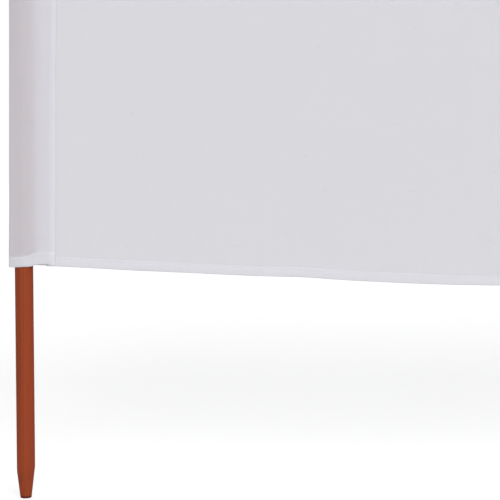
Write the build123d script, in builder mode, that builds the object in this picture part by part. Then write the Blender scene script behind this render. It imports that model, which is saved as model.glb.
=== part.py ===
"""A beach windbreak of four bays, in millimetres.

Five wooden poles stand in a straight line along X. Each one is pushed up through a cloth pocket, and a
panel of cloth is stitched between every two pockets. The cloth is hemmed along its top and bottom edges.
The bare lower end of each pole is the spike that goes into the sand, and the origin is the flat tip of
the middle pole. +X runs along the windbreak, +Y is its rear and +Z is up.
"""

from build123d import *
import os

# Layout
bay_count = 4
pole_pitch = 1333.0  # between the axes of two neighbouring poles

# Wooden poles
pole_diameter = 25.0
spike_length = 320.0  # bare pole below the cloth, with its tip
head_length = 40.0  # bare pole above the cloth, which takes the mallet
tip_length = 40.0
tip_flat_diameter = 14.5
tip_edge_radius = 1.2
shoulder_radius = 45.0  # eases the cone of the tip into the shank
head_chamfer = 2.0

# Cloth
cloth_height = 1200.0
cloth_thickness = 1.5
hem_height = 13.0
hem_thickness = 2.5
droop = 24.5  # how far the slack cloth hangs down at the middle of a bay
billow = 22.0  # how far the cloth bellies forward at the middle of a bay
cloth_forward = 7.0  # plane of the seams in front of the pole axes

# Pockets that hold the poles
pocket_clearance = 0.3  # between a pole and the cloth round it
fold_slack = 8.0  # from the pole to the folded edge of an end pocket
fold_radius = 3.5  # inside the folded edge
end_seam_distance = 43.5  # from the axis of an end pole to the seam
middle_seam_distance = 32.0  # from the axis of any other pole to its two seams
seam_width = 6.0  # the stitched lap, where both layers lie together
seam_gusset = 0.5  # inside radius where the two layers part

pole_radius = pole_diameter / 2
pole_length = spike_length + cloth_height + head_length
pole_positions = [pole_pitch * (index - bay_count / 2) for index in range(bay_count + 1)]
cloth_foot = spike_length
cloth_head = spike_length + cloth_height
fold_distance = pole_radius + fold_slack

# The lower and upper edges run down straight from the seams and round off at the middle of the bay.
straight_share = 0.75  # of half a bay
droop_there = 0.862  # share of the droop that is reached at that point

os.makedirs("parts", exist_ok=True)


def save(part, label):
    """Labels a finished piece and writes it to its own file."""
    part.label = label
    export_step(part, f"parts/{label}.step")


def make_pole(x):
    """A turned pole: a flat-ended conical tip, a plain shank and a chamfered head."""
    with BuildPart() as pole:
        with BuildSketch(Plane(origin=(x, 0, 0), z_dir=(0, -1, 0), x_dir=(1, 0, 0))):
            with BuildLine():
                Polyline(
                    (0, 0),
                    (tip_flat_diameter / 2, 0),
                    (pole_radius, tip_length),
                    (pole_radius, pole_length),
                    (0, pole_length),
                    close=True,
                )
            make_face()
        revolve(axis=Axis((x, 0, 0), (0, 0, 1)))
        rims = pole.edges().filter_by(GeomType.CIRCLE).sort_by(Axis.Z)
        fillet(rims[0], radius=tip_edge_radius)
        fillet(pole.edges().filter_by(GeomType.CIRCLE).group_by(Axis.Z)[-2], radius=shoulder_radius)
        chamfer(pole.edges().filter_by(GeomType.CIRCLE).group_by(Axis.Z)[-1], length=head_chamfer)
    return pole.part


def pocket_hollow(left_reach, left_radius, right_reach, right_radius):
    """The space inside a pocket, seen from above: cloth pulled round the pole and out to both sides."""
    with BuildSketch() as hollow:
        Circle(pole_radius + pocket_clearance)
        with Locations((-left_reach + left_radius, -cloth_forward)):
            Circle(left_radius)
        with Locations((right_reach - right_radius, -cloth_forward)):
            Circle(right_radius)
        make_hull()
    return hollow.sketch


def pocket_wall(hollow, laps, wall):
    """The cloth of a pocket, seen from above, with a stitched lap at each seam distance in laps."""
    with BuildSketch() as section:
        add(hollow)
        offset(amount=wall)
        for seam in laps:
            side = 1 if seam > 0 else -1
            with Locations((seam - side * seam_width, -cloth_forward)):
                Rectangle(seam_width, 2 * wall, align=(Align.MIN if side > 0 else Align.MAX, Align.CENTER))
        add(hollow, mode=Mode.SUBTRACT)
    return section.sketch


def make_pocket(x, hollow, laps):
    """An open-ended pocket with thicker hems round its foot and its head."""
    plain = pocket_wall(hollow, laps, cloth_thickness)
    hemmed = pocket_wall(hollow, laps, hem_thickness)
    with BuildPart() as pocket:
        with BuildSketch(Plane(origin=(x, 0, cloth_foot))):
            add(plain)
        extrude(amount=cloth_height)
        for z in (cloth_foot, cloth_head - hem_height):
            with BuildSketch(Plane(origin=(x, 0, z))):
                add(hemmed)
            extrude(amount=hem_height)
    return pocket.part


def edge_curve(x_left, x_right, z):
    """One drooping edge of the cloth in a bay, drawn in elevation from seam to seam."""
    half = (x_right - x_left) / 2
    middle = x_left + half
    steepness = droop * droop_there / straight_share / half
    return Spline(
        (x_left, z),
        (x_left + straight_share * half, z - droop_there * droop),
        (middle, z - droop),
        (x_right - straight_share * half, z - droop_there * droop),
        (x_right, z),
        tangents=[(1, -steepness), (1, steepness)],
    )


def make_strip(x_left, x_right, z_low, z_high, thickness):
    """A strip of the cloth in one bay, between two drooping edges, on the forward curve of the bay."""
    middle = (x_left + x_right) / 2
    half_thickness = thickness / 2
    with BuildPart() as strip:
        with BuildSketch(Plane(origin=(0, -cloth_forward, z_low - droop))):
            with BuildLine():
                front = ThreePointArc(
                    (x_left, -half_thickness),
                    (middle, -billow - half_thickness),
                    (x_right, -half_thickness),
                )
                back = ThreePointArc(
                    (x_left, half_thickness),
                    (middle, -billow + half_thickness),
                    (x_right, half_thickness),
                )
                Line(front @ 0, back @ 0)
                Line(front @ 1, back @ 1)
            make_face()
        extrude(amount=z_high - z_low + droop)
        with BuildSketch(Plane.XZ):
            with BuildLine():
                lower = edge_curve(x_left, x_right, z_low)
                upper = edge_curve(x_left, x_right, z_high)
                Line(lower @ 0, upper @ 0)
                Line(lower @ 1, upper @ 1)
            make_face()
        extrude(amount=cloth_forward + billow + thickness, both=True, mode=Mode.INTERSECT)
    return strip.part


# Poles
for number, x in enumerate(pole_positions, start=1):
    save(make_pole(x), f"pole_{number}")

# Pockets: folded over at the two ends of the windbreak, and seamed on both sides in between
left_end_hollow = pocket_hollow(
    fold_distance - cloth_thickness, fold_radius, end_seam_distance - seam_width, seam_gusset
)
right_end_hollow = pocket_hollow(
    end_seam_distance - seam_width, seam_gusset, fold_distance - cloth_thickness, fold_radius
)
middle_reach = middle_seam_distance - seam_width
middle_hollow = pocket_hollow(middle_reach, seam_gusset, middle_reach, seam_gusset)
for number, x in enumerate(pole_positions, start=1):
    if number == 1:
        pocket = make_pocket(x, left_end_hollow, [end_seam_distance])
    elif number == bay_count + 1:
        pocket = make_pocket(x, right_end_hollow, [-end_seam_distance])
    else:
        pocket = make_pocket(x, middle_hollow, [-middle_seam_distance, middle_seam_distance])
    save(pocket, f"pole_pocket_{number}")

# Cloth of each bay: a panel between its two hems
for bay in range(1, bay_count + 1):
    left_seam = end_seam_distance if bay == 1 else middle_seam_distance
    right_seam = end_seam_distance if bay == bay_count else middle_seam_distance
    x_left = pole_positions[bay - 1] + left_seam
    x_right = pole_positions[bay] - right_seam
    panel_foot = cloth_foot + hem_height
    panel_head = cloth_head - hem_height
    save(make_strip(x_left, x_right, panel_foot, panel_head, cloth_thickness), f"cloth_panel_{bay}")
    save(make_strip(x_left, x_right, cloth_foot, panel_foot, hem_thickness), f"bottom_hem_{bay}")
    save(make_strip(x_left, x_right, panel_head, cloth_head, hem_thickness), f"top_hem_{bay}")
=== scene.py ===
import math

import bmesh
import bpy
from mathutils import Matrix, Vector, noise


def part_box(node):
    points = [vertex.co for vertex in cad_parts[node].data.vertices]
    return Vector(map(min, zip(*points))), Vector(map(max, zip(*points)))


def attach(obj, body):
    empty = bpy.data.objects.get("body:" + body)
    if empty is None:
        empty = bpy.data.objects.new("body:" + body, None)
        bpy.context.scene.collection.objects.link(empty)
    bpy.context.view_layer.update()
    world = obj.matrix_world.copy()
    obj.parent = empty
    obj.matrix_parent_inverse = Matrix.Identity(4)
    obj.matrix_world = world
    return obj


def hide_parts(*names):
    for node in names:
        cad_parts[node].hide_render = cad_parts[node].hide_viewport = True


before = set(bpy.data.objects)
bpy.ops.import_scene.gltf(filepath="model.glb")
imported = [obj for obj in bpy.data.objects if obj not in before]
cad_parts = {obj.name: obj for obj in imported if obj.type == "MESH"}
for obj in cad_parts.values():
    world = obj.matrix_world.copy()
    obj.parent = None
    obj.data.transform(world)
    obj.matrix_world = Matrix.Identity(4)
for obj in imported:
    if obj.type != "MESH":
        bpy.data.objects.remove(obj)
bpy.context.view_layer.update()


# Camera: level with the lower part of the first bay, straight in front of it and tipped slightly down.
# It takes in the foot of the first pole, its pocket and the cloth as far as the middle of the bay.
first_pole_low, first_pole_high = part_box("pole_1")
first_pole_x = (first_pole_low.x + first_pole_high.x) / 2
cloth_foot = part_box("pole_pocket_1")[0].z
aim_beside_pole = 0.3091
aim_above_foot = 0.02235
camera_distance = 1.887
camera_tilt = math.radians(3.5)
camera_lens = 99.4
sensor_width = 36.0

aim = Vector((first_pole_x + aim_beside_pole, 0.0, cloth_foot + aim_above_foot))
camera = bpy.data.objects.new("camera", bpy.data.cameras.new("camera"))
camera.data.sensor_width = sensor_width
camera.data.lens = camera_lens
camera.location = aim + camera_distance * Vector((0.0, -math.cos(camera_tilt), math.sin(camera_tilt)))
camera.rotation_euler = (math.pi / 2 - camera_tilt, 0.0, 0.0)
bpy.context.scene.collection.objects.link(camera)
bpy.context.scene.camera = camera
bpy.context.scene.view_settings.view_transform = "Standard"


# Stage: a pale floor that the tips of the poles stand on, in a white surround, with soft lamps before
# and behind. What the camera sees of the surround is plain white, and the floor keeps the shadow.
plain_white = (1.0, 1.0, 1.0, 1.0)
surround_tint = (0.97, 0.98, 1.0, 1.0)
surround_light = 0.34
floor_side = 60.0
floor_grey = (0.5, 0.5, 0.5, 1.0)
floor_glow = 0.62


class Value:
    """A number or vector in a finish's nodes. Arithmetic on it adds Math nodes."""

    def __init__(self, finish, socket):
        self.finish, self.socket = finish, socket

    def __add__(self, other):
        return self.finish.maths("ADD", self, other)

    __radd__ = __add__

    def __sub__(self, other):
        return self.finish.maths("SUBTRACT", self, other)

    def __rsub__(self, other):
        return self.finish.maths("SUBTRACT", other, self)

    def __mul__(self, other):
        return self.finish.maths("MULTIPLY", self, other)

    __rmul__ = __mul__


class Finish:
    """The nodes of a material or of the surround."""

    def __init__(self, owner):
        owner.use_nodes = True
        self.tree = owner.node_tree
        self.tree.nodes.clear()

    def add(self, kind, settings, sockets, output=0):
        """Adds a node, gives it its settings, then its sockets' values or links, and returns an output."""
        node = self.tree.nodes.new("ShaderNode" + kind)
        for name, setting in settings.items():
            setattr(node, name, setting)
        for key, value in sockets.items():
            if isinstance(value, Value):
                self.tree.links.new(value.socket, node.inputs[key])
            else:
                node.inputs[key].default_value = value
        return Value(self, node.outputs[output]) if node.outputs else None

    def maths(self, operation, *values):
        return self.add("Math", {"operation": operation}, dict(enumerate(values)))

    def blend(self, share, colour, other_colour):
        """A colour that turns from one to the other as share goes from 0 to 1."""
        return self.add("Mix", {"data_type": "RGBA"}, {0: share, 6: colour, 7: other_colour}, output=2)

    def fade(self, value, start, end):
        """1 where the value is up to start, and less from there to 0 at end."""
        return self.add("MapRange", {}, {0: value, 1: start, 2: end, 3: 1.0, 4: 0.0}, output="Result")

    def seen(self):
        """1 for what the camera sees, also in a gloss or through glass, and 0 for what lights the object."""
        camera_ray, glossy_ray, through_ray, soft_ray = (
            self.add("LightPath", {}, {}, output=f"Is {kind} Ray")
            for kind in ("Camera", "Glossy", "Transmission", "Diffuse")
        )
        return self.maths("MINIMUM", camera_ray + glossy_ray + through_ray * (1.0 - soft_ray), 1.0)


def add_sun(name, strength, softness, sideways, height, from_behind):
    """A soft lamp far off: degrees to the right of straight in front or behind, and degrees up."""
    lamp = bpy.data.lights.new(name, "SUN")
    lamp.energy = strength
    lamp.angle = math.radians(softness)
    turn, rise = math.radians(sideways), math.radians(height)
    side = 1.0 if from_behind else -1.0
    level = math.cos(rise)
    towards = Vector((math.sin(turn) * level, side * math.cos(turn) * level, math.sin(rise)))
    sun = bpy.data.objects.new(name, lamp)
    sun.rotation_euler = towards.to_track_quat("Z", "Y").to_euler()
    bpy.context.scene.collection.objects.link(sun)


world = bpy.data.worlds.new("surround")
surround = Finish(world)
lit = surround.add("Background", {}, {"Color": surround_tint, "Strength": surround_light})
white = surround.add("Background", {}, {"Color": plain_white, "Strength": 1.0})
surround_mix = surround.add("MixShader", {}, {0: surround.seen(), 1: lit, 2: white})
surround.add("OutputWorld", {}, {"Surface": surround_mix})
bpy.context.scene.world = world

floor_material = bpy.data.materials.new("floor")
floor_finish = Finish(floor_material)
paint = floor_finish.add("BsdfDiffuse", {}, {"Color": floor_grey})
glow = floor_finish.add("Emission", {}, {"Color": plain_white, "Strength": floor_glow})
glowing = floor_finish.add("AddShader", {}, {0: paint, 1: glow})
floor_mix = floor_finish.add("MixShader", {}, {0: floor_finish.seen(), 1: paint, 2: glowing})
floor_finish.add("OutputMaterial", {}, {"Surface": floor_mix})
floor_shape = bmesh.new()
bmesh.ops.create_grid(floor_shape, x_segments=1, y_segments=1, size=floor_side / 2)
floor_mesh = bpy.data.meshes.new("floor")
floor_shape.to_mesh(floor_mesh)
floor_shape.free()
floor_mesh.materials.append(floor_material)
floor = bpy.data.objects.new("floor", floor_mesh)
bpy.context.scene.collection.objects.link(floor)

add_sun("front_lamp", strength=2.22, softness=50.0, sideways=22.0, height=28.0, from_behind=False)
add_sun("side_lamp", strength=0.35, softness=60.0, sideways=-35.0, height=35.0, from_behind=False)
add_sun("rear_lamp", strength=0.72, softness=60.0, sideways=-20.0, height=40.0, from_behind=True)


# Poles: softwood dowels, stained red-brown, with the grain along them, each pushed up through its pocket. The
# lower end is cut to a cone that is faintly faceted and a little off centre, the head is blunt, and the cut
# ends have soaked up more stain. The lowest few millimetres of the tip are painted darker, as painted shade.
pole_names = sorted(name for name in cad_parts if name.startswith("pole_") and "pocket" not in name)
pole_boxes = [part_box(name) for name in pole_names]
pole_positions = [(low.x + high.x) / 2 for low, high in pole_boxes]
pole_top = first_pole_high.z
pole_radius = (first_pole_high.y - first_pole_low.y) / 2
pole_sides = 72
pole_turn = 2.4
head_rounding = 0.0020
tip_length = 0.040
tip_radius = 0.0077
tip_rounding = 0.0012
tip_rounding_steps = 4
tip_offset = 0.0004
tip_facets = 7
facet_depth = 0.00012
ringed_length = tip_length * 1.3
ring_count = 14
first_ring = 0.8
cut_length = tip_length * 1.5
beside_axis = 1e-6


def fillet_corner(shape, corner, size):
    bmesh.ops.bevel(
        shape, geom=[corner], offset=size, affect="VERTICES", segments=4, profile=0.5, material=-1
    )


def cut_tip(vertex, x, turn):
    """Moves a vertex of the lower end onto the off-centre cone, where that lies inside the dowel."""
    across = Vector((vertex.co.x - x, vertex.co.y))
    if across.length < beside_axis:
        return
    angle = math.atan2(across.y, across.x)
    slope = (pole_radius - tip_radius) / tip_length
    uneven = facet_depth * math.cos(tip_facets * angle + turn) - tip_offset * math.cos(angle - turn)
    cone = tip_radius + (vertex.co.z - tip_rounding) * slope + uneven
    radius = min(across.length, cone) if vertex.co.z > tip_rounding else across.length + uneven
    across = across.normalized() * radius
    vertex.co.x, vertex.co.y = x + across.x, across.y


def make_dowel(name, x, turn):
    """Spins a dowel from its outline, with a rounded rim round its tip and rings where the cone is cut."""
    shape = bmesh.new()
    outline = [shape.verts.new((x, 0.0, 0.0))]
    for step in range(tip_rounding_steps + 1):
        angle = math.pi / 2 * step / tip_rounding_steps
        rim = tip_radius - tip_rounding * (1.0 - math.sin(angle))
        outline.append(shape.verts.new((x + rim, 0.0, tip_rounding * (1.0 - math.cos(angle)))))
    for ring in range(ring_count + 1):
        height = ringed_length * (ring + first_ring) / ring_count
        outline.append(shape.verts.new((x + pole_radius, 0.0, height)))
    outline.append(shape.verts.new((x + pole_radius, 0.0, pole_top)))
    outline.append(shape.verts.new((x, 0.0, pole_top)))
    for start, end in zip(outline, outline[1:]):
        shape.edges.new((start, end))
    fillet_corner(shape, outline[-2], head_rounding)
    bmesh.ops.spin(
        shape, geom=shape.verts[:] + shape.edges[:], cent=(x, 0.0, 0.0), axis=(0.0, 0.0, 1.0),
        angle=math.tau, steps=pole_sides, use_merge=True,
    )
    bmesh.ops.remove_doubles(shape, verts=shape.verts[:], dist=1e-5)
    for vertex in shape.verts:
        if vertex.co.z < cut_length:
            cut_tip(vertex, x, turn)
    bmesh.ops.recalc_face_normals(shape, faces=shape.faces[:])
    for face in shape.faces:
        face.smooth = True
    mesh = bpy.data.meshes.new(name)
    shape.to_mesh(mesh)
    shape.free()
    dowel = bpy.data.objects.new(name, mesh)
    bpy.context.scene.collection.objects.link(dowel)
    return dowel


def stained_wood(name, x, turn):
    """Red-brown stain over straight grain: growth rings about a heart outside the dowel, and fibres."""
    brown_stain, red_stain = (0.215, 0.049, 0.014, 1.0), (0.400, 0.060, 0.021, 1.0)
    # The last of these is the darker stain of the cut ends, which also serves as painted shade at the foot of
    # the tip.
    fibre_stain, end_stain_and_shade = (0.20, 0.036, 0.013, 1.0), (0.085, 0.014, 0.009, 1.0)
    to_heart = (0.021, 0.034, 0.0)
    ring_turns = 2100.0
    # The foot of the tip is painted darker as painted shade, fully below the first height and fading out by
    # the second.
    rim_shade_height, rim_shade_end_height = 0.0020, 0.0040
    material = bpy.data.materials.new(name)
    finish = Finish(material)
    place = finish.add("TexCoord", {}, {}, output="Object")
    centred = finish.add("VectorMath", {"operation": "SUBTRACT"}, {0: place, 1: (x, 0.0, 0.0)})
    turned = finish.add("Mapping", {}, {"Vector": centred, "Rotation": (0.0, 0.0, turn)})
    wander = finish.add("Mapping", {}, {"Vector": turned, "Scale": (22.0, 22.0, 1.6)})
    sway = finish.add("TexNoise", {}, {"Vector": wander, "Scale": 1.0, "Detail": 2.0})
    heart = finish.add("VectorMath", {"operation": "ADD"}, {0: turned, 1: to_heart})
    flat = finish.add("VectorMath", {"operation": "MULTIPLY"}, {0: heart, 1: (1.0, 1.0, 0.0)})
    from_heart = finish.add("VectorMath", {"operation": "LENGTH"}, {0: flat}, output="Value")
    rings = finish.maths("SINE", (from_heart + sway * 0.010) * ring_turns) * 0.5 + 0.5
    along = finish.add("Mapping", {}, {"Vector": turned, "Scale": (620.0, 620.0, 9.0)})
    fibres = finish.add("TexNoise", {}, {"Vector": along, "Scale": 1.0, "Detail": 3.0, "Roughness": 0.6})
    broad = finish.add("Mapping", {}, {"Vector": turned, "Scale": (150.0, 150.0, 3.0)})
    streaks = finish.add("TexNoise", {}, {"Vector": broad, "Scale": 1.0, "Detail": 2.0})
    tone = finish.maths("SMOOTH_MIN", rings * 0.45 + streaks * 0.75 - 0.12, 1.0, 0.2)
    stain = finish.blend(tone, brown_stain, red_stain)
    fibred = finish.blend(fibres * 0.55, stain, fibre_stain)
    normal = finish.add("NewGeometry", {}, {}, output="Normal")
    upright = finish.add("SeparateXYZ", {}, {0: normal}, output="Z")
    cut_end = finish.maths("GREATER_THAN", finish.maths("ABSOLUTE", upright), 0.75)
    height = finish.add("SeparateXYZ", {}, {0: place}, output="Z")
    # Cut ends get the darker end stain, and the foot of the tip gets the same colour as painted shade.
    stain_and_rim_shade = finish.maths("MAXIMUM", cut_end * 0.7, finish.fade(height, rim_shade_height, rim_shade_end_height))
    colour = finish.blend(stain_and_rim_shade, fibred, end_stain_and_shade)
    relief = fibres * 0.6 + rings * 0.4
    bump = finish.add("Bump", {}, {"Strength": 0.35, "Distance": 0.0004, "Height": relief})
    surface = finish.add(
        "BsdfPrincipled", {},
        {"Base Color": colour, "Roughness": fibres * 0.25 + 0.5, "Normal": bump, "Specular IOR Level": 0.12},
    )
    finish.add("OutputMaterial", {}, {"Surface": surface})
    return material


for number, (name, x) in enumerate(zip(pole_names, pole_positions)):
    turn = pole_turn * number
    dowel = make_dowel(f"dowel_{number + 1}", x, turn)
    dowel.data.materials.append(stained_wood(f"stained_wood_{number + 1}", x, turn))
    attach(dowel, "root")
    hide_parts(name)


# Pockets: a strip of thin white cloth goes round each pole, with its foot and head turned in as a hem. At the
# two ends of the windbreak it is folded over at the outer edge and has one seam. Round the other poles it is
# a front and a back strip, and the cloth of the bays is stitched between them on either side.
pocket_names = sorted(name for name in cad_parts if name.startswith("pole_pocket_"))
last_pocket = len(pocket_names) - 1
end_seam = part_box(pocket_names[0])[1].x - first_pole_x
middle_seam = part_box(pocket_names[1])[1].x - pole_positions[1]
cloth_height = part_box("pole_pocket_1")[1].z - cloth_foot
cad_cloth_thickness = 0.0015
forward = cad_cloth_thickness / 2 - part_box("cloth_panel_1")[1].y
cloth_thickness = 0.0005
pole_clearance = 0.0003
wall_radius = pole_radius + pole_clearance + cloth_thickness / 2
pocket_rings = 112

# The lap at a seam, out to its edge, and the hollow bend in which the strip comes down to it from the pole
lap_width = 0.006
lap_gap = 0.00085
lap_gap_at_hem = 0.0008
lap_gap_at_tuck = 0.0003
lap_shape = [
    (0.0020, 0.0), (0.0033, 0.0001), (0.0042, -0.00012), (0.0050, 0.0001), (0.0057, 0.0), (0.0060, -0.0004),
]
extra_wrap = 1.5
round_steps = 6
bend_steps = 14

# The hem turned in at the foot and the head: height on the strip, and how far it stands off there
hem_height = 0.013
hem_turn = 0.0005
hem_turn_steps = 4
hem_depth = 0.0010
hem_stitch_height = 0.0113
hem_rows = [
    (0.003, 1.0), (0.007, 1.0), (hem_stitch_height, 0.75), (hem_height, 0.85),
    (0.0137, 0.35), (0.0152, 0.0), (0.019, 0.0), (0.024, 0.0),
]

# The folded edge of an end pocket, and how it and the seam wander between foot and head. Here and below, a
# level at the start is followed by steps from one place to another, each with how much it changes the level.
fold_reach = (0.0192, (0.0, 0.1, -0.0007), (-0.10, 0.52, -0.0044))
fold_wave = 0.0002
fold_tuck = 0.0009
fold_forward = 0.0018
fold_tip_radius = 0.0026
fold_tip_tuck = 0.0005
fold_steps = 7
span_shares = (0.2, 0.4, 0.6, 0.8)
drift_of_seam = (0.0, (-0.05, 0.55, 0.0056))

# How its stitches pull up the edge of a pocket, by the place across it, and how this evens out further up
lift_in_front = (
    -0.0001,
    (-0.020, -0.012, -0.0003), (-0.008, 0.004, 0.0007), (0.008, 0.021, 0.0030), (0.032, 0.043, -0.0023),
)
lift_behind = (0.0018, (0.026, 0.040, 0.0008))
stretch_in_front = (0.02, (0.004, 0.020, 0.16))
front_side = (-0.002, 0.002)
evened_out = (0.02, 0.10)

# The slack cloth between the pole and the lap, and the line of the seam, which isn't quite straight
off_pole = (0.008, 0.018)
slack_margin = 0.011
slack_wave = 0.0008
wander_margin = 0.012
seam_wander = 0.0004

# How much light is held back by what lies close behind the cloth
pole_backing = (0.09, (0.006, 0.012, -0.09))
cloth_backing = (0.0, (0.011, 0.024, 0.20), (0.029, 0.033, 0.15), (0.036, 0.039, 0.45))
hem_backing = (0.4, (0.0129, 0.0140, -0.4))


def smooth_step(value, start, end):
    share = min(max((value - start) / (end - start), 0.0), 1.0)
    return share * share * (3.0 - 2.0 * share)


def stepped(place, level, *steps):
    """The level at a place, after the change of each step that has a start, an end and a change."""
    return level + sum(change * smooth_step(place, start, end) for start, end, change in steps)


def ripple(*place):
    """Smooth unevenness from -1 to 1, which is the same at each run."""
    return noise.noise(Vector(place))


def from_edge(height):
    """How far a height on a pocket is from the nearer of its foot and its head."""
    return min(height, cloth_height - height)


def arc(centre, radius, start, end, steps):
    """Points on the front of a round, seen from above, by the angle from its left-hand side."""
    angles = (start + (end - start) * step / steps for step in range(steps + 1))
    return [centre + radius * Vector((-math.cos(angle), -math.sin(angle))) for angle in angles]


def bend(start, corner, end, steps):
    """Points after start on a soft bend that leaves it towards the corner and ends at end."""
    shares = (step / steps for step in range(1, steps + 1))
    return [start.lerp(corner, share).lerp(corner.lerp(end, share), share) for share in shares]


def leaving_angle(across, ahead, radius):
    """How far round the pole cloth leaves it for a place beside it and ahead of its axis."""
    return math.asin(radius / math.hypot(across, ahead)) - math.atan2(ahead, across)


def front_to_seam(seam, radius, ahead):
    """The strip from the front of the pole to its seam: off the pole, in a hollow bend, onto the lap."""
    lap_start = Vector((seam - lap_width, -ahead))
    leaving = extra_wrap * leaving_angle(lap_start.x, ahead, radius)
    on_pole = arc(Vector((0.0, 0.0)), radius, math.pi / 2, math.pi / 2 + leaving, round_steps)
    corner = Vector((on_pole[-1].x - (ahead + on_pole[-1].y) / math.tan(leaving), -ahead))
    lap = [lap_start + Vector((across, -rise)) for across, rise in lap_shape]
    return on_pole + bend(on_pole[-1], corner, lap_start, bend_steps) + lap


def front_to_fold(reach, radius, tip_radius, ahead):
    """The strip from the front of the pole to the middle of its folded edge."""
    tip = Vector((tip_radius - reach, -ahead))
    leaving = math.pi / 2 - leaving_angle(-tip.x, ahead, radius - tip_radius)
    on_pole = arc(Vector((0.0, 0.0)), radius, math.pi / 2, leaving, round_steps)
    on_fold = arc(tip, tip_radius, leaving, 0.0, fold_steps)
    between = [on_pole[-1].lerp(on_fold[0], share) for share in span_shares]
    return on_pole + between + on_fold


def seam_drift(number, height):
    """How much farther from its pole the seam of an end pocket runs, away from the foot and the head."""
    return stepped(from_edge(height), *drift_of_seam) if number in (0, last_pocket) else 0.0


def pocket_outlines(number, seam, height, depth, tuck):
    """The outlines of a pocket's strips at one height, seen from above. Each goes left to right in front."""
    seam += seam_drift(number, height)
    radius = wall_radius + depth * hem_depth
    gap = lap_gap + depth * lap_gap_at_hem + tuck * lap_gap_at_tuck
    reach = stepped(from_edge(height), *fold_reach) - tuck * fold_tuck
    reach += fold_wave * ripple(height * 9.0, 7.0, number)
    sides = []
    for ahead in (forward, -forward):
        to_seam = front_to_seam(seam, radius, ahead + gap)
        if number in (0, last_pocket):
            fold_ahead = ahead + math.copysign(fold_forward, ahead)
            to_end = front_to_fold(reach, radius, fold_tip_radius - tuck * fold_tip_tuck, fold_ahead)
        else:
            to_end = [Vector((-point.x, point.y)) for point in to_seam]
        sides.append(to_end[::-1] + to_seam[1:])
    front, back = sides
    back = [Vector((point.x, -point.y)) for point in reversed(back)]
    if number == 0:
        return [back[:-1] + front]
    if number == last_pocket:
        return [[Vector((-point.x, point.y)) for point in reversed(back[:-1] + front)]]
    return [front, back]


def pocket_rows():
    """Rows from foot to head: height, how far the strip stands off for its hem, how far it is tucked in."""
    turn = [math.pi * step / hem_turn_steps for step in range(hem_turn_steps + 1)]
    foot = [(hem_height, 0.0, 1.0), (hem_height / 2, 0.0, 1.0)]
    foot += [(hem_turn * (1 - math.sin(a)), (1 - math.cos(a)) / 2, (1 + math.cos(a)) / 2) for a in turn]
    foot += [(height, depth, 0.0) for height, depth in hem_rows]
    first = foot[-1][0]
    step = (cloth_height - 2 * first) / pocket_rings
    middle = [(first + step * index, 0.0, 0.0) for index in range(1, pocket_rings)]
    head = [(cloth_height - height, depth, tuck) for height, depth, tuck in reversed(foot)]
    return foot + middle + head


def towards_seam(number, seam, point):
    """How far a point is from its pole towards a seam, on the scale of an end pocket."""
    if number == 0:
        return point.x
    if number == last_pocket:
        return -point.x
    return abs(point.x) * end_seam / seam


def uneven_edge(across, in_front):
    """How far the edge of a pocket is pulled up, and how much higher its hem is, by the place on it."""
    behind = stepped(across, *lift_behind)
    lift = behind + (stepped(across, *lift_in_front) - behind) * in_front
    return lift, stepped(across, *stretch_in_front) * in_front


def backing(across):
    """How close other things lie behind the cloth of a pocket: its pole, the cloth of the bay and the lap."""
    return stepped(abs(across), *pole_backing) + stepped(across, *cloth_backing)


def pocket_point(number, pole_x, seam, point, height):
    """Where a point of a pocket's outline is at a height above its foot, as unevenly as real cloth."""
    in_front = smooth_step(-forward - point.y, *front_side)
    lift, stretch = uneven_edge(towards_seam(number, seam, point), in_front)
    rise = (lift + from_edge(height) * stretch) * (1.0 - smooth_step(from_edge(height), *evened_out))
    rise = rise if height < cloth_height / 2 else -rise
    seam += seam_drift(number, height)
    from_pole = abs(point.x)
    slack = smooth_step(from_pole, *off_pole)
    slack *= 1.0 - smooth_step(from_pole, seam - slack_margin, seam - lap_width)
    patch = 4.0 * number + math.copysign(1.0, point.x) + math.copysign(0.5, point.y + forward)
    wave = ripple(height * 13.0, patch, 1.0) + 0.35 * ripple(height * 45.0, patch, 2.0)
    depth = point.y + slack_wave * wave * slack
    wander = ripple(height * 14.0, 8.0 * number + math.copysign(1.0, point.x), 3.0)
    sideways = seam_wander * wander * smooth_step(from_pole, seam - wander_margin, seam - lap_width)
    return Vector((pole_x + point.x + sideways, depth, cloth_foot + height + rise))


def measure_along(points):
    """How far each point is from the first, along the line through them."""
    distances = [0.0]
    for start, end in zip(points, points[1:]):
        distances.append(distances[-1] + (end - start).length)
    return distances


def lay_sheet(shape, rings, layers):
    """Adds a flat grid to the shape and lays its rows on the rings. Its UV map is in metres of cloth.
    layers gives how many more layers lie with this one, as a share, by the row and the column."""
    rows, columns = len(rings) - 1, len(rings[0]) - 1
    width = measure_along(rings[rows // 2])
    length = measure_along([ring[columns // 2] for ring in rings])
    cloth_map = shape.loops.layers.uv.get("cloth") or shape.loops.layers.uv.new("cloth")
    layered = shape.verts.layers.float.get("layers") or shape.verts.layers.float.new("layers")
    for vertex in bmesh.ops.create_grid(shape, x_segments=columns, y_segments=rows, size=0.5)["verts"]:
        row, column = round((vertex.co.y + 0.5) * rows), round((vertex.co.x + 0.5) * columns)
        vertex.co = rings[row][column]
        vertex[layered] = layers(row, column)
        for loop in vertex.link_loops:
            loop[cloth_map].uv = (width[column], length[row])


def make_cloth(name, shape, material, node):
    """Makes the shape a piece of cloth of the real thickness that stands for the named node."""
    for face in shape.faces:
        face.smooth = True
    mesh = bpy.data.meshes.new(name)
    shape.to_mesh(mesh)
    shape.free()
    mesh.materials.append(material)
    piece = bpy.data.objects.new(name, mesh)
    bpy.context.scene.collection.objects.link(piece)
    solid = piece.modifiers.new("thickness", "SOLIDIFY")
    solid.thickness = cloth_thickness
    solid.offset = 0.0
    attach(piece, "root")
    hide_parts(node)
    return piece


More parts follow.
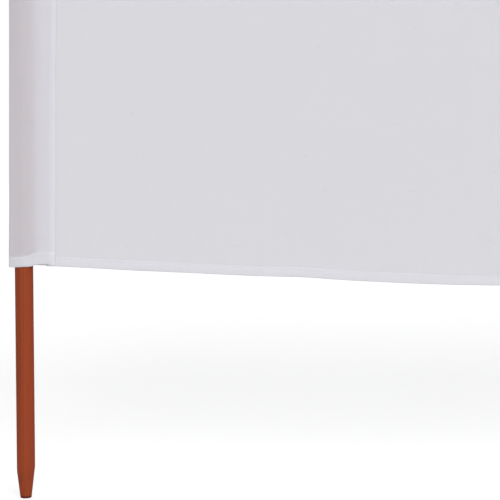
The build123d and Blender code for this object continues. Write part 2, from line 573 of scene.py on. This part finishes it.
def white_cloth():
    """Thin plain-woven white cloth with slightly uneven threads and a few small slubs. Light comes through
    it, and less of it does where other layers lie with it."""
    thin_thread, thick_thread = (0.875, 0.868, 0.912, 1.0), (0.948, 0.941, 0.99, 1.0)
    slub_shade, lit_through = (0.80, 0.79, 0.85, 1.0), (0.943, 0.943, 0.945, 1.0)
    slub_core, slub_end = 0.006, 0.038
    through_one_layer, lost_behind = 0.62, 0.30
    thread_spacing = 0.0006
    turns = math.pi / thread_spacing
    material = bpy.data.materials.new("white_cloth")
    finish = Finish(material)
    flat = finish.add("UVMap", {"uv_map": "cloth"}, {})
    layers = finish.add("Attribute", {"attribute_name": "layers"}, {}, output="Fac")
    across, along = (finish.add("SeparateXYZ", {}, {0: flat}, output=axis) for axis in "XY")
    weave = finish.maths("SINE", across * turns) * finish.maths("SINE", along * turns)
    warp = finish.add("Mapping", {}, {"Vector": flat, "Scale": (1100.0, 14.0, 1.0)})
    weft = finish.add("Mapping", {}, {"Vector": flat, "Scale": (14.0, 1100.0, 1.0)})
    thick_warp, thick_weft = (
        finish.add("TexNoise", {}, {"Vector": threads, "Scale": 1.0, "Detail": 1.0})
        for threads in (warp, weft)
    )
    uneven = thick_warp * 0.5 + thick_weft * 0.5
    plain = finish.blend(uneven, thin_thread, thick_thread)
    spots = finish.add("Mapping", {}, {"Vector": flat, "Scale": (8.0, 20.0, 1.0)})
    from_slub, slub_number = (
        finish.add("TexVoronoi", {"voronoi_dimensions": "2D"}, {"Vector": spots, "Scale": 1.0}, output=way)
        for way in ("Distance", "Color")
    )
    slub_strength = finish.add("SeparateXYZ", {}, {0: slub_number}, output="X")
    colour = finish.blend(finish.fade(from_slub, slub_core, slub_end) * slub_strength, plain, slub_shade)
    handled = finish.add("TexNoise", {}, {"Vector": flat, "Scale": 24.0, "Detail": 3.0, "Roughness": 0.55})
    soft = finish.add("Bump", {}, {"Strength": 0.25, "Distance": 0.0012, "Height": handled})
    gathers = finish.add("TexNoise", {}, {"Vector": flat, "Scale": 170.0, "Detail": 2.0}) * layers
    puckered = finish.add(
        "Bump", {}, {"Strength": 0.5, "Distance": 0.0010, "Height": gathers, "Normal": soft}
    )
    threads = weave * 0.5 + uneven * 1.5
    bump = finish.add(
        "Bump", {}, {"Strength": 0.3, "Distance": 0.00008, "Height": threads, "Normal": puckered}
    )
    face = finish.add(
        "BsdfPrincipled", {},
        {"Base Color": colour, "Roughness": uneven * 0.2 + 0.7, "Normal": bump, "Specular IOR Level": 0.2},
    )
    through = finish.add("BsdfTranslucent", {}, {"Color": lit_through, "Normal": bump})
    both = finish.add("MixShader", {}, {0: through_one_layer - layers * lost_behind, 1: face, 2: through})
    finish.add("OutputMaterial", {}, {"Surface": both})
    return material


cloth = white_cloth()
rows = pocket_rows()
hemmed = [stepped(from_edge(height), *hem_backing) for height, depth, tuck in rows]
pockets = []
for number, (name, pole_x) in enumerate(zip(pocket_names, pole_positions)):
    seam = end_seam if number in (0, last_pocket) else middle_seam
    outlines = [pocket_outlines(number, seam, *row) for row in rows]
    shape = bmesh.new()
    strips = []
    for strip in range(len(outlines[0])):
        rings = [
            [pocket_point(number, pole_x, seam, point, row[0]) for point in outline[strip]]
            for outline, row in zip(outlines, rows)
        ]
        backed = [backing(towards_seam(number, seam, point)) for point in outlines[0][strip]]
        lay_sheet(shape, rings, lambda row, column: 1.0 - (1.0 - hemmed[row]) * (1.0 - backed[column]))
        strips.append(rings)
    pockets.append((make_cloth(f"pocket_cloth_{number + 1}", shape, cloth, name), strips))


# Cloth of the bays: one width of the same cloth from pocket to pocket, whose sides reach a little way in
# between the strips of the pockets and are stitched there. It is slack, so its edges hang in a shallow curve
# and its front bellies out a little.
panel_names = sorted(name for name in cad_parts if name.startswith("cloth_panel_"))
foot_hem_names = sorted(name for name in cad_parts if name.startswith("bottom_hem_"))
bay_boxes = [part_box(name) for name in foot_hem_names]
cad_hem_thickness = 0.0025
droop = cloth_foot - bay_boxes[0][0].z
billow = -bay_boxes[0][0].y - cad_hem_thickness / 2 - forward
straight_share = 0.75
droop_there = 0.862
seam_tail = 0.012
bay_columns = 104
bay_rows = 98
near_seam = [0.0, 0.004, 0.008, seam_tail, 0.0137, 0.016, 0.0195, 0.0245, 0.0315]
near_edge = [0.0012, 0.006, 0.0105, 0.0128, 0.0145, 0.018, 0.024, 0.032]

# Unevenness: the waves of the lower edge by their place, width and height, then how deep the others are
edge_waves = [(0.15, 0.06, -0.0004), (0.38, 0.045, 0.0014), (0.82, 0.07, 0.0012), (1.12, 0.05, -0.0010)]
edge_lift = 0.0006
head_wave = 0.0012
belly_wave = 0.0014
gather_depth = 0.0005
gather_width = 0.03
drift_width = 0.2


def spread(length, near, count):
    """Distances along a length: those in near from either end, and even ones between them."""
    step = (length - 2 * near[-1]) / count
    between = [near[-1] + step * index for index in range(1, count)]
    return near + between + [length - distance for distance in reversed(near)]


def hang(share):
    """How much of the droop is reached, by the distance from the nearer seam as a share of half a bay."""
    if share < straight_share:
        return share * droop_there / straight_share
    return 1.0 - (1.0 - droop_there) * ((1.0 - share) / (1.0 - straight_share)) ** 2


def bay_point(bay, x, height):
    """A point of the cloth of a bay, by its place along the windbreak and its height above the lower edge."""
    low, high = bay_boxes[bay]
    share = min(max((x - low.x) / (high.x - low.x), 0.0), 1.0)
    up = height / cloth_height
    belly = 4.0 * share * (1.0 - share)
    free = min(4.0 * belly, 1.0)
    from_seam = min(abs(x - low.x), abs(high.x - x))
    from_pole = x - pole_positions[bay]
    wave = sum(lift * math.exp(-(((from_pole - centre) / width) ** 2)) for centre, width, lift in edge_waves)
    lower = edge_lift + wave * math.cos(2.3 * bay) * free
    upper = head_wave * ripple(x * 3.0, 9.0, bay) * free
    level = -droop * hang(1.0 - abs(2.0 * share - 1.0)) + lower * (1.0 - up) + upper * up
    broad = belly_wave * ripple(x * 2.1, height * 1.9, bay * 5.7) * belly
    gather = ripple(height * 17.0, bay * 4.1, math.copysign(2.0, share - 0.5))
    gather *= gather_depth * math.exp(-from_seam / gather_width)
    number = bay if share < 0.5 else bay + 1
    drift = math.copysign(seam_drift(number, height), 0.5 - share)
    drift *= 1.0 - smooth_step(from_seam, 0.0, drift_width)
    return Vector((x + drift, broad + gather - forward - billow * belly, cloth_foot + height + level))


def places_along(bay, count):
    """Places along a bay for the columns of its cloth, from inside one pocket to inside the next."""
    low, high = bay_boxes[bay]
    return [low.x - seam_tail + along for along in spread(high.x - low.x + 2 * seam_tail, near_seam, count)]


bays = []
for bay, name in enumerate(panel_names):
    columns = places_along(bay, bay_columns)
    heights = spread(cloth_height, near_edge, bay_rows)
    rings = [[bay_point(bay, x, height) for x in columns] for height in heights]
    shape = bmesh.new()
    lay_sheet(shape, rings, lambda row, column: 0.0)
    bays.append(make_cloth(f"bay_cloth_{bay + 1}", shape, cloth, name))


# Hems: the foot and the head of each bay's cloth are turned over twice and stitched, so that several layers
# lie together there and less light comes through.
head_hem_names = sorted(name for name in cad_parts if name.startswith("top_hem_"))
hem_columns = 96
hem_side = [
    (0.00030, hem_height), (0.00046, 0.0126), (0.00044, hem_stitch_height),
    (0.00060, 0.0095), (0.00064, 0.006), (0.00062, 0.0022),
]
hem_round = 0.0006
hem_round_steps = 6
hem_layers = 0.86


def hem_section():
    """Depth and height of the points on a hem: from its back edge down, round the fold and up its front."""
    turn = [math.pi * step / hem_round_steps for step in range(hem_round_steps + 1)]
    fold = [(hem_round * math.cos(a), cloth_thickness / 2 + hem_round * (1 - math.sin(a))) for a in turn]
    return hem_side + fold + [(-depth, height) for depth, height in reversed(hem_side)]


hems = []
for bay, names in enumerate(zip(foot_hem_names, head_hem_names)):
    columns = places_along(bay, hem_columns)
    foot, head = (
        [[bay_point(bay, x, abs(edge - height)) + Vector((0.0, depth, 0.0)) for x in columns]
         for depth, height in hem_section()]
        for edge in (0.0, cloth_height)
    )
    for label, rings, name in zip(("foot", "head"), (foot, head[::-1]), names):
        shape = bmesh.new()
        lay_sheet(shape, rings, lambda row, column: hem_layers)
        hems.append((make_cloth(f"{label}_hem_{bay + 1}", shape, cloth, name), rings))


# Stitches: rows of white thread along the seams of the pockets and along every hem, the same on the front
# and the back. They hold the cloth together, and the stitches of each pocket and of each bay are made as
# one piece.
stitch_spacing = 0.0038
stitch_length = 0.0030
thread_radius = 0.00026
stitch_lift = cloth_thickness / 2 + 0.00008
lap_stitch_column = 3
hem_stitch_row = 2
pocket_hem_margin = 8
bay_hem_margin = 2


def white_thread():
    """White thread with a little gloss, painted darker in the hollows of its twist as painted shade."""
    shaded_thread, lit_thread = (0.80, 0.80, 0.83, 1.0), (0.93, 0.93, 0.95, 1.0)
    material = bpy.data.materials.new("white_thread")
    finish = Finish(material)
    place = finish.add("TexCoord", {}, {}, output="Object")
    twist = finish.add("TexNoise", {}, {"Vector": place, "Scale": 2600.0, "Detail": 1.0})
    # Painted shade: the shaded copy lies in the hollows of the twist bump, and the lit copy lies on its
    # ridges.
    colour = finish.blend(twist, shaded_thread, lit_thread)
    bump = finish.add("Bump", {}, {"Strength": 0.3, "Distance": 0.0001, "Height": twist})
    surface = finish.add(
        "BsdfPrincipled", {},
        {"Base Color": colour, "Roughness": twist * 0.2 + 0.45, "Normal": bump, "Specular IOR Level": 0.4},
    )
    finish.add("OutputMaterial", {}, {"Surface": surface})
    return material


def stitch_maker(material):
    """Geometry nodes that lay stitches along every edge of a mesh."""
    group = bpy.data.node_groups.new("stitch_maker", "GeometryNodeTree")
    for way in ("INPUT", "OUTPUT"):
        group.interface.new_socket("Geometry", in_out=way, socket_type="NodeSocketGeometry")

    def add(kind, settings, sockets):
        """Adds a node, gives it its settings, then its sockets' values or links, and returns its outputs."""
        node = group.nodes.new(kind)
        for name, setting in settings.items():
            setattr(node, name, setting)
        for key, value in sockets.items():
            if isinstance(value, bpy.types.NodeSocket):
                group.links.new(value, node.inputs[key])
            else:
                node.inputs[key].default_value = value
        return node.outputs

    edges = add("NodeGroupInput", {}, {})[0]
    lines = add("GeometryNodeMeshToCurve", {}, {"Mesh": edges})[0]
    spots = add("GeometryNodeCurveToPoints", {"mode": "LENGTH"}, {"Curve": lines, "Length": stitch_spacing})
    ball = add("GeometryNodeMeshUVSphere", {}, {"Segments": 5, "Rings": 4, "Radius": 1.0})[0]
    scale = (thread_radius, thread_radius, stitch_length / 2)
    stitch = add("GeometryNodeTransform", {}, {"Geometry": ball, "Scale": scale})[0]
    turned = add("FunctionNodeAlignRotationToVector", {"axis": "Z"}, {"Vector": spots["Tangent"]})[0]
    placed = add(
        "GeometryNodeInstanceOnPoints", {},
        {"Points": spots["Points"], "Instance": stitch, "Rotation": turned},
    )[0]
    made = add("GeometryNodeRealizeInstances", {}, {"Geometry": placed})[0]
    smooth = add("GeometryNodeSetShadeSmooth", {}, {0: made})[0]
    finished = add("GeometryNodeSetMaterial", {}, {"Geometry": smooth, "Material": material})[0]
    add("NodeGroupOutput", {}, {0: finished})
    return group


def lifted(points, neighbours):
    """The points moved out of the cloth to where the thread lies. neighbours run across the row."""
    moved = []
    for index, (point, neighbour) in enumerate(zip(points, neighbours)):
        along = points[min(index + 1, len(points) - 1)] - points[max(index - 1, 0)]
        outwards = along.cross(neighbour - point).normalized()
        moved.append(point + outwards * stitch_lift)
    return moved


def make_stitches(name, paths):
    """Sews the stitches along the paths, as one piece."""
    shape = bmesh.new()
    for path in paths:
        corners = [shape.verts.new(point) for point in path]
        for start, end in zip(corners, corners[1:]):
            shape.edges.new((start, end))
    mesh = bpy.data.meshes.new(f"{name}_rows")
    shape.to_mesh(mesh)
    shape.free()
    piece = bpy.data.objects.new(name, mesh)
    bpy.context.scene.collection.objects.link(piece)
    piece.modifiers.new("stitches", "NODES").node_group = stitching
    made = bpy.data.meshes.new_from_object(piece.evaluated_get(bpy.context.evaluated_depsgraph_get()))
    piece.modifiers.clear()
    piece.data = made
    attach(piece, "root")
    return piece


stitching = stitch_maker(white_thread())
outer_rows = [index for index, row in enumerate(rows) if row[2] == 0.0]
foot_row = next(index for index in outer_rows if rows[index][0] == hem_stitch_height)
head_row = len(rows) - 1 - foot_row
inside_laps = slice(pocket_hem_margin, -pocket_hem_margin)
for number, (piece, strips) in enumerate(pockets):
    paths = []
    for rings in strips:
        for column in (lap_stitch_column, len(rings[0]) - 1 - lap_stitch_column):
            line = [rings[index][column] for index in outer_rows]
            beside = [rings[index][column - 1] for index in outer_rows]
            paths.append(lifted(line, beside))
        for row in (foot_row, head_row):
            paths.append(lifted(rings[row][inside_laps], rings[row + 1][inside_laps]))
    stitches = make_stitches(f"pocket_stitches_{number + 1}", paths)

for bay, piece in enumerate(bays):
    (foot_hem, foot_rings), (head_hem, head_rings) = hems[2 * bay:2 * bay + 2]
    paths = []
    for rings in (foot_rings, head_rings):
        for row in (hem_stitch_row, len(rings) - 1 - hem_stitch_row):
            paths.append(lifted(rings[row], rings[row + 1])[bay_hem_margin:-bay_hem_margin])
    stitches = make_stitches(f"bay_stitches_{bay + 1}", paths)
